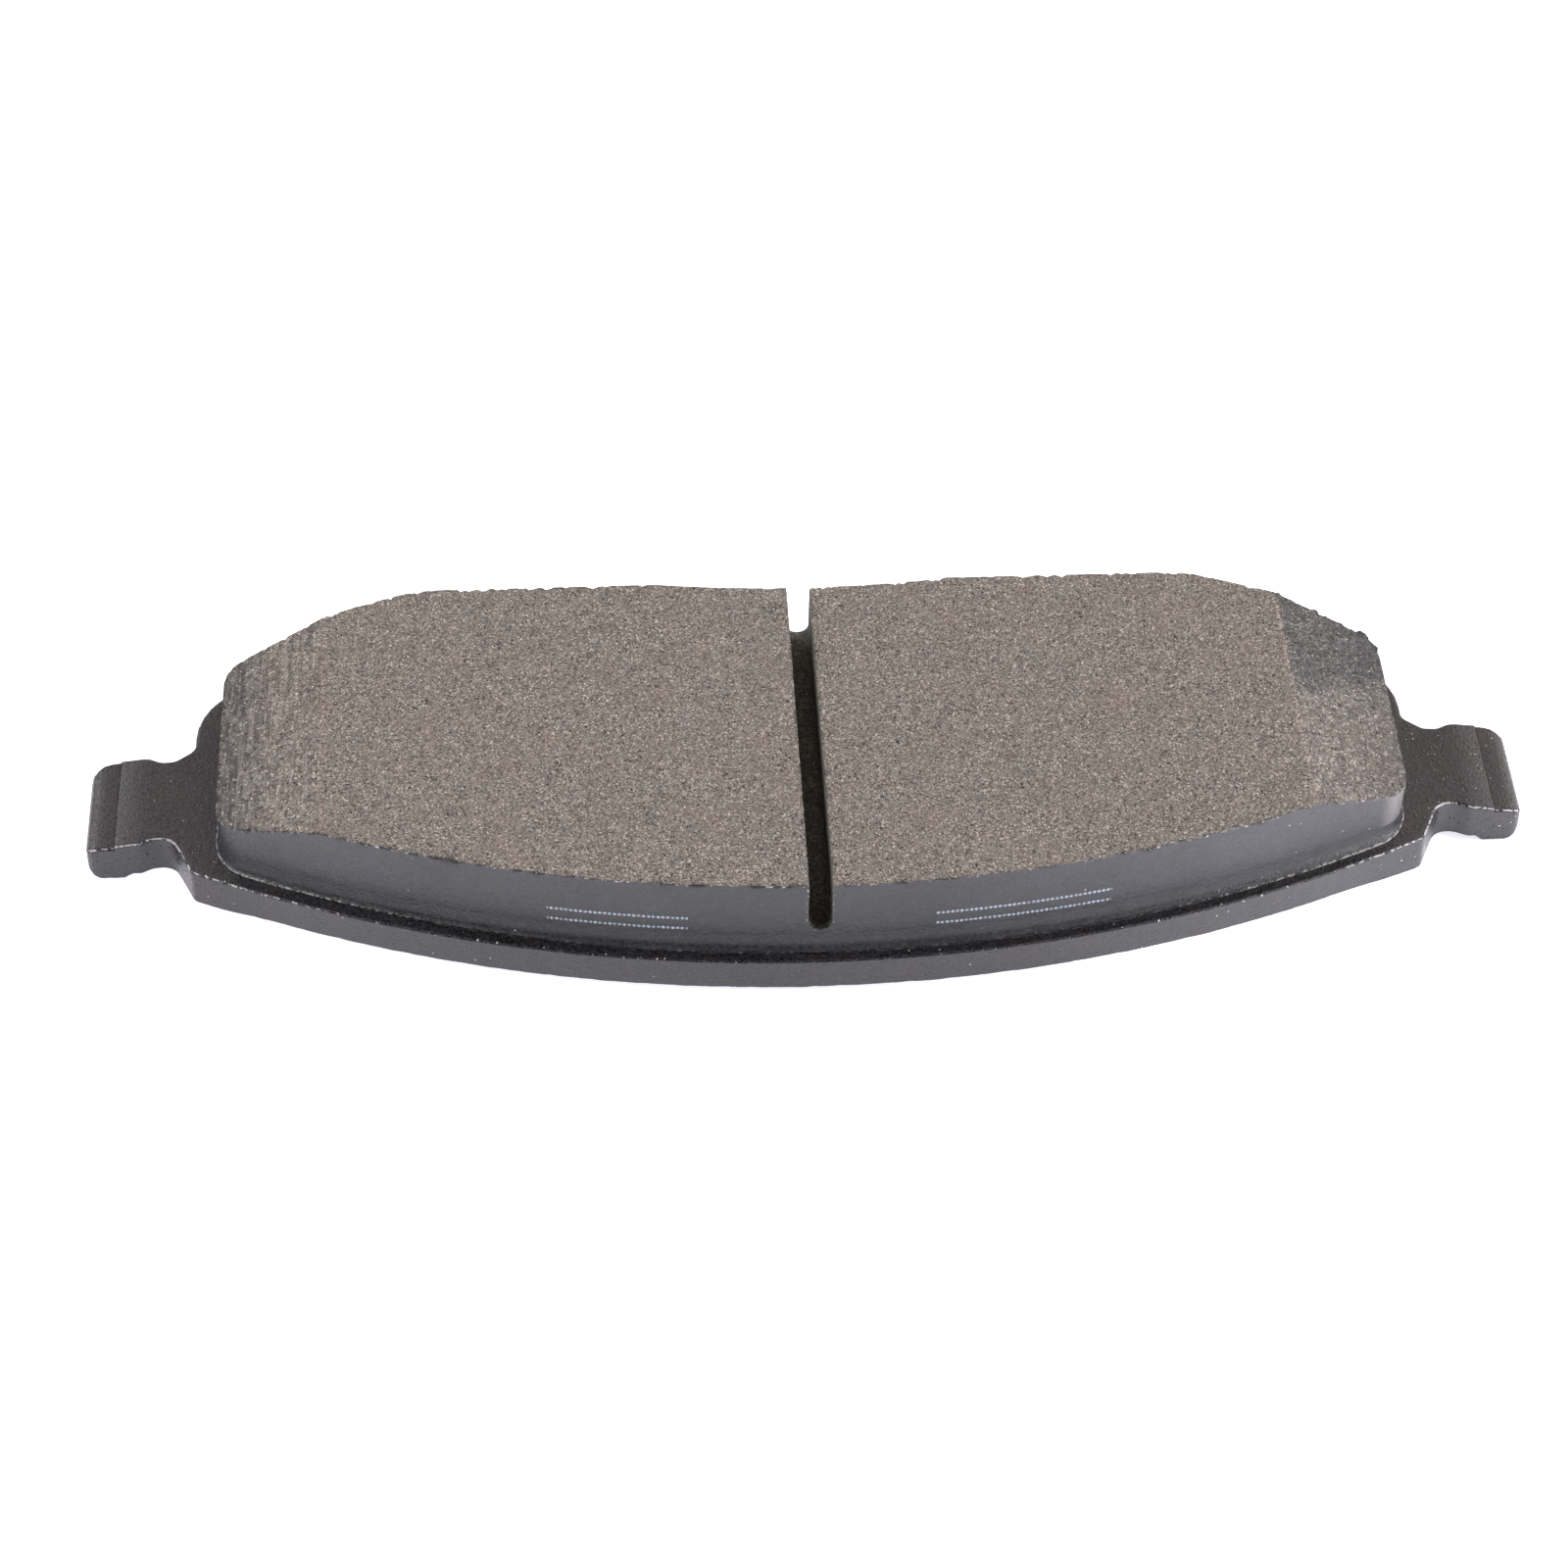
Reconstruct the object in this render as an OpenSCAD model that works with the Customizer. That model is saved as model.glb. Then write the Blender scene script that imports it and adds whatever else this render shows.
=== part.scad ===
// Bonded disc brake pad for a front caliper: steel backing plate, moulded friction lining and a
// damping shim on the back. X runs along the pad, +Y points to the wheel centre, +Z to the rotor.
// The origin is under the middle of the pad, on the plane of the shim's outer face.

/* [Backing plate] */
// Length over the two ears
ear_span = 191.6; // [190:0.2:194]
// Thickness of the steel
plate_t = 5.1; // [4.5:0.1:7]
// Radius of the long outer edge
plate_r = 187.4; // [160:0.1:240]
// Distance from the middle of the pad to the outer edge, and to the straight inner edge
plate_half_w = 30.5; // [29.5:0.5:33]
// Half length of the plate between the ears
body_half_l = 82.1; // [81.5:0.1:84]
// Radius of the two shoulders above the ears
shoulder_r = 10; // [6:0.5:11]

/* [Ears] */
// Y of the outer abutment face
ear_low_y = -6.6; // [-7:0.1:-6.4]
// Y of the inner abutment face
ear_high_y = 9.2; // [9:0.1:9.6]
// How far the tip of an ear is pressed down
tip_drop = 0.75; // [0.2:0.05:0.75]
// Length of the pressed tip, seen from the friction side
tip_l = 3.9; // [2.5:0.1:4.5]
// How much longer the pressed tip is on the back
tip_lap = 2.1; // [0.5:0.1:2.3]
// Radius of the tip's rolled upper edge
tip_edge_r = 0.7; // [0.3:0.1:1.5]

/* [Friction lining] */
// Thickness above the plate, with the underlayer
lining_t = 11.8; // [9:0.1:16]
// Half length of the lining
lining_half_l = 78.4; // [76:0.1:79]
// How far along the pad the mould sits off the plate's middle
lining_shift = 0.5; // [0:0.1:0.6]
// Y of the straight inner edge
lining_high_y = 28.1; // [27:0.1:28.5]
// Width of the plate's bare rim along the outer edge
rim_w = 2.5; // [2:0.1:4]
// Depth of the shallow hollow in the middle of the inner edge
hollow_depth = 1.3; // [0.5:0.1:2]
// Length of that hollow
hollow_l = 40; // [30:1:60]

/* [Slot and chamfers] */
// Width of the centre slot
slot_w = 3.1; // [3.1:0.1:4]
// Depth of the centre slot
slot_depth = 8.4; // [6:0.1:9]
// Radius at the foot of the slot
slot_foot_r = 1.5; // [0.4:0.1:1.5]
// Distance from the middle of the pad to the start of a chamfer
chamfer_start = 64.5; // [60:0.5:70]
// Depth of a chamfer where it leaves the lining
chamfer_depth = 4.7; // [2:0.1:6]

/* [Underlayer] */
// Thickness of the underlayer
underlayer_t = 2.5; // [1.6:0.1:3]
// Thickness of the adhesive under it
bond_t = 0.1; // [0.05:0.05:0.2]
// How far the foot of the lining spreads over the plate along its edges
foot_spread = 1.1; // [0.3:0.1:1.2]
// How far it spreads at the two ends
foot_end_spread = 0.5; // [0.1:0.1:1]
// Height of the thin lip at the edge of the foot
foot_lip = 0.25; // [0.15:0.05:0.4]
// Diameter of the retention holes in the plate
retention_d = 11; // [8:0.5:13]

/* [Shim] */
// Thickness of the shim's steel
shim_steel_t = 0.4; // [0.3:0.1:0.6]
// Thickness of each rubber coat
shim_coat_t = 0.15; // [0.1:0.05:0.2]
// Thickness of the adhesive that holds the shim to the plate
shim_glue_t = 0.1; // [0.05:0.05:0.15]
// Distance from the plate's edge to the shim's edge
shim_inset = 2.2; // [1.5:0.1:4]

/* [Hidden] */

// Segments along each half of the outer edge, in a rounded corner and up the lining's foot
edge_steps = 16;
corner_steps = 6;
foot_steps = 6;
// A length larger than anything on the pad, and the overlap of a cut with what it cuts
far = 300;
cut = 0.5;

// Heights of the layers
z_core = shim_coat_t;
z_inner_coat = z_core + shim_steel_t;
z_glue = z_inner_coat + shim_coat_t;
z_plate = z_glue + shim_glue_t;
z_bond = z_plate + plate_t;
z_under = z_bond + bond_t;
z_block = z_bond + underlayer_t;
z_top = z_bond + lining_t;

// The outer edges of plate and lining share one centre
arc_y = plate_r - plate_half_w;
lining_r = plate_r - rim_w;
function arc_point(r, x) = [x, arc_y - sqrt(r * r - x * x)];

// The slanted inner edge falls by this much for each millimetre along the pad
slant = 0.38;
// Where the plate's slant starts, at its straight inner edge
slant_x = body_half_l - 28.5;
// Where the lining's slant starts
lining_slant_x = lining_half_l - 25.6;

// Retention holes: two pairs, mirrored about the middle of the pad
holes = [[18, 3], [54, 5]];
hole_r = retention_d / 2;
// Gap between a retention plug and its hole
plug_gap = 0.05;

// Outlines are lists of [x, y, corner radius], for the right half, from the outer edge up
function outer_edge(r, x_end) =
    [for (i = [0 : edge_steps - 1]) let (x = x_end * i / edge_steps) concat(arc_point(r, x), 0)];

plate_half = concat(
    outer_edge(plate_r, body_half_l - 0.6),
    [[body_half_l - 0.6, arc_point(plate_r, body_half_l - 0.6)[1], 1.5],
     [body_half_l + 2.4, ear_low_y + 1.2, 2.6],
     [body_half_l + 5.1, ear_low_y + 0.8, 3],
     [body_half_l + 6.7, ear_low_y, 2],
     [ear_span / 2, ear_low_y, 1.4],
     [ear_span / 2, ear_high_y, 3.2],
     [body_half_l + 6.3, ear_high_y, 2.5],
     [body_half_l + 4.4, ear_high_y - 0.8, 2],
     [body_half_l + 2.6, ear_high_y - 0.7, 2.5],
     [body_half_l, ear_high_y + 1.4, 2],
     [body_half_l, plate_half_w - slant * (body_half_l - slant_x), shoulder_r],
     [slant_x, plate_half_w, 20]]);

// The shim leaves the ears out
shim_half = concat(
    outer_edge(plate_r, body_half_l),
    [concat(arc_point(plate_r, body_half_l), 6),
     [body_half_l, plate_half_w - slant * (body_half_l - slant_x), shoulder_r + 4],
     [slant_x, plate_half_w, 20]]);

// The hollow in the inner edge is an arc through its two ends and its deepest point
hollow_r = (hollow_l * hollow_l / 4 + hollow_depth * hollow_depth) / (2 * hollow_depth);
hollow_y = lining_high_y - hollow_depth + hollow_r;
function hollow_point(x) = [x, hollow_y - sqrt(hollow_r * hollow_r - x * x), 0];

lining_half = concat(
    outer_edge(lining_r, lining_half_l),
    [concat(arc_point(lining_r, lining_half_l), 5.5),
     [lining_half_l, lining_high_y - slant * (lining_half_l - lining_slant_x), 4],
     [lining_slant_x, lining_high_y, 20]],
    [for (i = [corner_steps : -1 : 0]) hollow_point(hollow_l / 2 * i / corner_steps)]);

// A half outline that touches the middle at both ends gives each end point only once
function mirrored(half) = concat(
    half,
    [for (i = [len(half) - 1 : -1 : 0]) if (half[i][0] > 0) [-half[i][0], half[i][1], half[i][2]]]);

function unit(v) = v / norm(v);
function flat(p) = [p[0], p[1]];
// Outward normal of the edge from a to b of an outline that runs anticlockwise
function edge_normal(a, b) = let (u = unit(flat(b) - flat(a))) [u[1], -u[0]];
function turns_left(a, b, c) =
    (b[0] - a[0]) * (c[1] - b[1]) - (b[1] - a[1]) * (c[0] - b[0]) > 0;

// Moves every edge of an outline outwards by d, and keeps its corners concentric
function grown(line, d) = [
    for (i = [0 : len(line) - 1])
        let (n = len(line),
             a = line[(i + n - 1) % n], b = line[i], c = line[(i + 1) % n],
             m = edge_normal(a, b), k = edge_normal(b, c),
             p = flat(b) + d * (m + k) / (1 + m * k),
             r = b[2] == 0 ? 0 : b[2] + (turns_left(a, b, c) ? d : -d))
            [p[0], p[1], r]];

// Replaces each corner that has a radius by an arc
function rounded(line) = [
    for (i = [0 : len(line) - 1])
        let (n = len(line),
             a = flat(line[(i + n - 1) % n]), b = flat(line[i]), c = flat(line[(i + 1) % n]),
             r = line[i][2], u = unit(a - b), v = unit(c - b),
             half_angle = acos(u * v) / 2,
             centre = b + unit(u + v) * r / sin(half_angle),
             start = b + u * r / tan(half_angle) - centre,
             end = b + v * r / tan(half_angle) - centre,
             sweep = turns_left(a, b, c) ? 180 - 2 * half_angle : 2 * half_angle - 180)
            each r == 0 ? [b] : [
                for (j = [0 : corner_steps]) let (t = sweep * j / corner_steps)
                    centre + [start[0] * cos(t) - start[1] * sin(t),
                              start[0] * sin(t) + start[1] * cos(t)]]];

plate_line = mirrored(plate_half);
lining_line = [for (p = mirrored(lining_half)) p + [lining_shift, 0, 0]];
shim_line = grown(mirrored(shim_half), -shim_inset);

module on_both_ends() {
    children();
    mirror([1, 0, 0]) children();
}

module slab(line, z, t) {
    translate([0, 0, z]) linear_extrude(t) polygon(rounded(line));
}

// One cylinder at each retention hole
module at_holes(r, z, t) {
    on_both_ends()
        for (p = holes) translate([p[0], p[1], z]) cylinder(r = r, h = t, $fn = 64);
}

// Everything beyond x along the pad
module beyond(x, z, t) {
    on_both_ends() translate([x, -far / 2, z]) cube([far, far, t]);
}

// What a rolled upper edge of radius r takes off the end of an ear
module rolled_edge(r, z) {
    on_both_ends() difference() {
        translate([ear_span / 2 - r, -far / 2, z - r]) cube([r + cut, far, r + cut]);
        translate([ear_span / 2 - r, 0, z - r]) rotate([90, 0, 0])
            cylinder(r = r, h = far, center = true, $fn = 64);
    }
}

module backing_plate() {
    tip_x = ear_span / 2 - tip_l;
    color([0.10, 0.10, 0.11]) difference() {
        union() {
            difference() {
                slab(plate_line, z_plate, plate_t);
                beyond(tip_x, z_plate - cut, plate_t + 2 * cut);
            }
            intersection() {
                slab(plate_line, z_plate - tip_drop, plate_t);
                beyond(tip_x - tip_lap, z_plate - tip_drop - cut, plate_t + 2 * cut);
            }
        }
        rolled_edge(tip_edge_r, z_bond - tip_drop);
        at_holes(hole_r, z_plate - cut, plate_t + 2 * cut);
    }
}

module bond_film() {
    color([0.45, 0.30, 0.16]) difference() {
        slab(foot_line(1), z_bond, bond_t);
        at_holes(hole_r, z_bond - cut, bond_t + 2 * cut);
    }
}

// The lining's outline with its foot spread by the share k: 0 is the wall, 1 is the lip
function foot_line(k) =
    let (squeeze = (lining_half_l + k * foot_end_spread) / (lining_half_l + k * foot_spread))
        [for (p = grown(lining_line, k * foot_spread))
            [lining_shift + squeeze * (p[0] - lining_shift), p[1], p[2]]];

// Rings of the foot as [share, height], from the plate up: a thin lip, then a hollow curve
foot_rings = concat(
    [[1, z_under]],
    [for (i = [0 : foot_steps]) let (a = 90 * i / foot_steps)
        [1 - sin(a), z_under + foot_lip + (z_block - z_under - foot_lip) * (1 - cos(a))]]);

module foot() {
    rings = [for (g = foot_rings) [for (p = rounded(foot_line(g[0]))) [p[0], p[1], g[1]]]];
    n = len(rings[0]);
    last = (len(rings) - 1) * n;
    polyhedron(
        [for (ring = rings) each ring],
        concat(
            [[for (i = [0 : n - 1]) i], [for (i = [n - 1 : -1 : 0]) last + i]],
            [for (k = [0 : len(rings) - 2], i = [0 : n - 1]) let (j = (i + 1) % n)
                [k * n + j, k * n + i, (k + 1) * n + i, (k + 1) * n + j]]));
}

module underlayer() {
    color([0.22, 0.22, 0.24]) union() {
        foot();
        at_holes(hole_r - plug_gap, z_plate, z_under - z_plate + cut);
    }
}

module slot() {
    z_foot = z_top - slot_depth;
    side_x = slot_w / 2 - slot_foot_r;
    translate([-slot_w / 2, -far / 2, z_foot + slot_foot_r])
        cube([slot_w, far, slot_depth]);
    translate([-side_x, -far / 2, z_foot]) cube([2 * side_x, far, slot_depth]);
    for (x = [-side_x, side_x])
        translate([x, 0, z_foot + slot_foot_r]) rotate([90, 0, 0])
            cylinder(r = slot_foot_r, h = far, center = true, $fn = 64);
}

module chamfers() {
    chamfer_angle = atan(chamfer_depth / (lining_half_l - chamfer_start));
    translate([lining_shift, 0, z_top]) on_both_ends()
        translate([chamfer_start, -far / 2, 0]) rotate([0, chamfer_angle, 0]) cube([far, far, far]);
}

module friction_block() {
    color([0.42, 0.39, 0.36]) difference() {
        slab(lining_line, z_block, z_top - z_block);
        slot();
        chamfers();
    }
}

module shim_adhesive() {
    color([0.70, 0.62, 0.40]) slab(shim_line, z_glue, shim_glue_t);
}

module shim_inner_coat() {
    color([0.08, 0.08, 0.08]) slab(shim_line, z_inner_coat, shim_coat_t);
}

module shim_core() {
    color([0.62, 0.63, 0.65]) slab(shim_line, z_core, shim_steel_t);
}

module shim_outer_coat() {
    color([0.12, 0.12, 0.12]) slab(shim_line, 0, shim_coat_t);
}

backing_plate();
bond_film();
underlayer();
friction_block();
shim_adhesive();
shim_inner_coat();
shim_core();
shim_outer_coat();
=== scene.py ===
import math

import bmesh
import bpy
from mathutils import Matrix, Vector, noise


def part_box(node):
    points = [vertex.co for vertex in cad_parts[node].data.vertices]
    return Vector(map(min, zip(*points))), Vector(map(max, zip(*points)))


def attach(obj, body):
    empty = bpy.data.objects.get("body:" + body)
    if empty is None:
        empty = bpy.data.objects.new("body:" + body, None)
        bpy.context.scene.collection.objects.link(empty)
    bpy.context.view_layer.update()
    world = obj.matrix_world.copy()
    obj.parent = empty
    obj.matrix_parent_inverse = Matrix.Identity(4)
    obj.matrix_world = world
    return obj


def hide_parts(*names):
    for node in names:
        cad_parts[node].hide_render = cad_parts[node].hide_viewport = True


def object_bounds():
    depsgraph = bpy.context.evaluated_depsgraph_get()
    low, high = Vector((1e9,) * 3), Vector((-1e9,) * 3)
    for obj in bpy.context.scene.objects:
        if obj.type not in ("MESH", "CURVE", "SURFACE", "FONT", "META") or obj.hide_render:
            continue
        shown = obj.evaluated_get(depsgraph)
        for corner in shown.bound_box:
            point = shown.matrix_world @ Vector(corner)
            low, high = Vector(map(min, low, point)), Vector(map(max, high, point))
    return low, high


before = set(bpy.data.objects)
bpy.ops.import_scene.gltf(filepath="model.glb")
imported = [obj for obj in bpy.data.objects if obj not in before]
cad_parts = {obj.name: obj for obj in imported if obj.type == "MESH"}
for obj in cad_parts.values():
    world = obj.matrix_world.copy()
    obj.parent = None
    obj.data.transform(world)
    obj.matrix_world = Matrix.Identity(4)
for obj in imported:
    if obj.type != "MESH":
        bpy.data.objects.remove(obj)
cad_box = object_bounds()

MM = 0.001

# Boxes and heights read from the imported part
BLOCK_LOW, BLOCK_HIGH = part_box("friction_block")
PLATE_LOW, PLATE_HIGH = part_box("backing_plate")
FOOT_LOW, FOOT_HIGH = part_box("underlayer")
BOND_LOW, BOND_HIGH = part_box("bond_film")
Z_FACE = BLOCK_HIGH.z
Z_PLATE_TOP = BOND_LOW.z
LINING_X = (BLOCK_LOW.x + BLOCK_HIGH.x) / 2

# Numbers that part.scad sets and no box shows. The holes are in millimetres.
ARC_CENTRE_Y = 156.9 * MM
CHAMFER_START = 64.5 * MM
SLOT_HALF = 1.55 * MM
RETENTION_HOLES = ((18, 3), (54, 5))

# How far from the middle the near wall is drawn out onto its arc
ARC_REACH = 70 * MM

# Values at the block's points that its ground face is painted from
BLOCK_MARKS = ("coarse", "ridge", "streak", "grey", "edge")

# Material numbers on the friction block, and on the backing plate's rolled edges
GROUND, SPRAYED, SAWN, INKED = range(4)
ROLLED = 1


# ---------------------------------------------------------------- mesh tools

def clean_bmesh(node):
    """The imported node's shape, with its split corners joined and its flat faces whole."""
    bm = bmesh.new()
    bm.from_mesh(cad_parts[node].data)
    bmesh.ops.remove_doubles(bm, verts=bm.verts, dist=0.002 * MM)
    bmesh.ops.dissolve_limit(bm, angle_limit=math.radians(0.3), verts=bm.verts, edges=bm.edges)
    return bm


def cut_at(bm, axis, places, keep_out=None):
    """Cuts the faces at these places along one axis. keep_out says which faces stay whole."""
    normal = Vector((0, 0, 0))
    normal[axis] = 1
    for place in places:
        point = Vector((0, 0, 0))
        point[axis] = place
        faces = [f for f in bm.faces if not (keep_out and keep_out(f))]
        geom = {e for f in faces for e in f.edges} | {v for f in faces for v in f.verts}
        bmesh.ops.bisect_plane(
            bm, geom=list(geom) + faces, dist=0.003 * MM, plane_co=point, plane_no=normal)


def spread_places(low, high, step):
    count = max(1, round((high - low) / step))
    return [low + (high - low) * i / count for i in range(1, count)]


def finish_mesh(bm, name, node, materials, sharp_angle=35):
    """Turns the working mesh into the piece that stands for the CAD node."""
    low, high = cad_box
    for v in bm.verts:
        v.co = [min(max(v.co[i], low[i]), high[i]) for i in range(3)]
    mesh = bpy.data.meshes.new(name)
    bm.to_mesh(mesh)
    bm.free()
    for material in materials:
        mesh.materials.append(material)
    mesh.polygons.foreach_set("use_smooth", [True] * len(mesh.polygons))
    mesh.set_sharp_from_angle(angle=math.radians(sharp_angle))
    piece = bpy.data.objects.new(name, mesh)
    bpy.context.scene.collection.objects.link(piece)
    weighted = piece.modifiers.new("flat_faces_stay_flat", "WEIGHTED_NORMAL")
    weighted.keep_sharp = True
    weighted.weight = 50
    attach(piece, "root")
    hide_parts(node)
    return piece


def wobble(point, size, seed=0.0):
    """Smooth noise from about -1 to 1, with lumps of the given size in metres."""
    return noise.noise(Vector((point.x / size + seed, point.y / size, point.z / size)))


def smoothstep(low, high, x):
    t = min(1.0, max(0.0, (x - low) / (high - low)))
    return t * t * (3 - 2 * t)


def round_near_arc(bm, centre_x, reach):
    """Moves the points of the faceted near wall out onto the true arc, level by level."""
    centre = Vector((centre_x, ARC_CENTRE_Y))
    levels = {}
    for v in bm.verts:
        if abs(v.co.x - centre_x) < reach and v.co.y < -10 * MM:
            radius = (v.co.xy - centre).length
            levels.setdefault(round(v.co.z / (0.02 * MM)), []).append((radius, v))
    for found in levels.values():
        true_radius = max(r for r, _ in found)
        for radius, v in found:
            if true_radius - radius < 0.03 * MM:
                flat = centre + (v.co.xy - centre) * (true_radius / radius)
                v.co.x, v.co.y = flat


# ---------------------------------------------------------------- node tools

def linear(*rgb):
    """An sRGB colour, 0 to 255, as the linear colour that a shader takes."""
    def one(c):
        c /= 255
        return c / 12.92 if c <= 0.04045 else ((c + 0.055) / 1.055) ** 2.4
    return (*[one(c) for c in rgb], 1.0)


class Paint:
    """A node material, with short calls for the nodes that the surfaces here use."""

    def __init__(self, name, roughness=0.5, **sockets):
        self.material = bpy.data.materials.new(name)
        self.material.use_nodes = True
        self.tree = self.material.node_tree
        self.shader = self.tree.nodes["Principled BSDF"]
        self.set(Roughness=roughness)
        for socket, value in sockets.items():
            self.shader.inputs[socket.replace("_", " ")].default_value = value
        place = self.tree.nodes.new("ShaderNodeTexCoord")
        self.place = place.outputs["Object"]

    def set(self, **sockets):
        for socket, value in sockets.items():
            self.put(self.shader.inputs[socket.replace("_", " ")], value)

    def put(self, socket, value):
        if isinstance(value, bpy.types.NodeSocket):
            self.tree.links.new(value, socket)
        else:
            socket.default_value = value

    def stretched(self, x, y, z):
        node = self.tree.nodes.new("ShaderNodeVectorMath")
        node.operation = "MULTIPLY"
        self.put(node.inputs[0], self.place)
        node.inputs[1].default_value = (x, y, z)
        return node.outputs[0]

    def noise(self, size, detail=2.0, rough=0.5, vector=None, spread=0.0):
        """Noise from 0 to 1 with features about size metres across."""
        node = self.tree.nodes.new("ShaderNodeTexNoise")
        self.put(node.inputs["Vector"], vector or self.place)
        node.inputs["Scale"].default_value = 1 / size
        node.inputs["Detail"].default_value = detail
        node.inputs["Roughness"].default_value = rough
        node.inputs["Distortion"].default_value = spread
        return node.outputs["Fac"]

    def cells(self, size, vector=None):
        """(distance from the cell's middle, then two random numbers for each cell)."""
        node = self.tree.nodes.new("ShaderNodeTexVoronoi")
        self.put(node.inputs["Vector"], vector or self.place)
        node.inputs["Scale"].default_value = 1 / size
        split = self.tree.nodes.new("ShaderNodeSeparateColor")
        self.put(split.inputs[0], node.outputs["Color"])
        return node.outputs["Distance"], split.outputs[0], split.outputs[1]

    def math(self, operation, a, b=0.0):
        node = self.tree.nodes.new("ShaderNodeMath")
        node.operation = operation
        self.put(node.inputs[0], a)
        self.put(node.inputs[1], b)
        return node.outputs[0]

    def between(self, value, low, high, out_low=0.0, out_high=1.0):
        """A smooth step of value from low to high."""
        node = self.tree.nodes.new("ShaderNodeMapRange")
        node.interpolation_type = "SMOOTHSTEP"
        self.put(node.inputs["Value"], value)
        node.inputs["From Min"].default_value = low
        node.inputs["From Max"].default_value = high
        node.inputs["To Min"].default_value = out_low
        node.inputs["To Max"].default_value = out_high
        return node.outputs[0]

    def ramp(self, value, *stops):
        node = self.tree.nodes.new("ShaderNodeValToRGB")
        self.put(node.inputs[0], value)
        elements = node.color_ramp.elements
        while len(elements) < len(stops):
            elements.new(0.5)
        for element, (place, colour) in zip(elements, stops):
            element.position = place
            element.color = colour
        return node.outputs[0]

    def mix(self, share, a, b, blend="MIX"):
        node = self.tree.nodes.new("ShaderNodeMix")
        node.data_type = "RGBA"
        node.blend_type = blend
        self.put(node.inputs[0], share)
        self.put(node.inputs[6], a)
        self.put(node.inputs[7], b)
        return node.outputs[2]

    def attribute(self, name):
        node = self.tree.nodes.new("ShaderNodeAttribute")
        node.attribute_name = name
        return node.outputs["Fac"]

    def axes(self):
        node = self.tree.nodes.new("ShaderNodeSeparateXYZ")
        self.put(node.inputs[0], self.place)
        return node.outputs

    def bump(self, height, distance, strength):
        node = self.tree.nodes.new("ShaderNodeBump")
        node.inputs["Strength"].default_value = strength
        node.inputs["Distance"].default_value = distance
        self.put(node.inputs["Height"], height)
        self.put(self.shader.inputs["Normal"], node.outputs[0])


# ---------------------------------------------------------------- camera, floor and light

def make_camera():
    azimuth, elevation, roll = -0.06962, 0.81116, 0.023133
    distance = 534.09 * MM
    aim = Vector((-2.674, 6.747, 0)) * MM
    back = Vector((
        math.sin(azimuth) * math.cos(elevation),
        -math.cos(azimuth) * math.cos(elevation),
        math.sin(elevation)))
    right = Vector((math.cos(azimuth), math.sin(azimuth), 0))
    up = back.cross(right)
    rolled_right = right * math.cos(roll) + up * math.sin(roll)
    rolled_up = up * math.cos(roll) - right * math.sin(roll)
    data = bpy.data.cameras.new("camera")
    data.lens = 90
    data.sensor_width = 36
    data.clip_start = 0.01
    camera = bpy.data.objects.new("camera", data)
    bpy.context.scene.collection.objects.link(camera)
    turn = Matrix((rolled_right, rolled_up, back)).transposed()
    camera.matrix_world = Matrix.Translation(aim + back * distance) @ turn.to_4x4()
    bpy.context.scene.camera = camera


def make_floor():
    """A pale studio floor that glows, with one faint shadow next to the right ear."""
    bm = bmesh.new()
    bmesh.ops.create_grid(bm, x_segments=8, y_segments=8, size=3)
    mesh = bpy.data.meshes.new("studio_floor")
    bm.to_mesh(mesh)
    bm.free()
    floor = bpy.data.objects.new("studio_floor", mesh)
    bpy.context.scene.collection.objects.link(floor)
    floor.location.z = -0.02 * MM
    paint = Paint("pale_floor", roughness=0.9)
    tone = paint.ramp(paint.noise(0.4), (0.3, linear(244, 243, 243)), (0.7, linear(248, 248, 248)))
    paint.set(Base_Color=tone)
    paint.shader.inputs["Emission Color"].default_value = (0.95, 0.94, 1.05, 1)
    x, y, _ = paint.axes()
    glow = paint.math(
        "ADD", paint.between(x, -90 * MM, 0, 1.05, 0.86), paint.between(x, 0, 100 * MM, 0, 0.90))
    along = paint.math(
        "MULTIPLY", paint.between(x, 80 * MM, 86 * MM), paint.between(x, 93 * MM, 97 * MM, 1, 0))
    shadow = paint.math("MULTIPLY", along, paint.between(y, -9.2 * MM, -7 * MM, 0, 0.55))
    glow = paint.math("MULTIPLY", glow, paint.math("SUBTRACT", 1.0, shadow))
    paint.set(Emission_Strength=glow)
    mesh.materials.append(paint.material)


def soft_light(name, place, size, watts, colour=(1, 1, 1)):
    data = bpy.data.lights.new(name, "AREA")
    data.shape = "RECTANGLE"
    data.size, data.size_y = size
    data.energy = watts
    data.color = colour
    light = bpy.data.objects.new(name, data)
    bpy.context.scene.collection.objects.link(light)
    light.location = place
    light.rotation_mode = "QUATERNION"
    light.rotation_quaternion = (-Vector(place)).to_track_quat("-Z", "Y")


def sky_step(tree, axis, low, high, dark, bright):
    """How bright the room is along one axis."""
    step = tree.nodes.new("ShaderNodeMapRange")
    step.inputs["From Min"].default_value = low
    step.inputs["From Max"].default_value = high
    step.inputs["To Min"].default_value = dark
    step.inputs["To Max"].default_value = bright
    tree.links.new(axis, step.inputs["Value"])
    return step.outputs[0]


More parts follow.
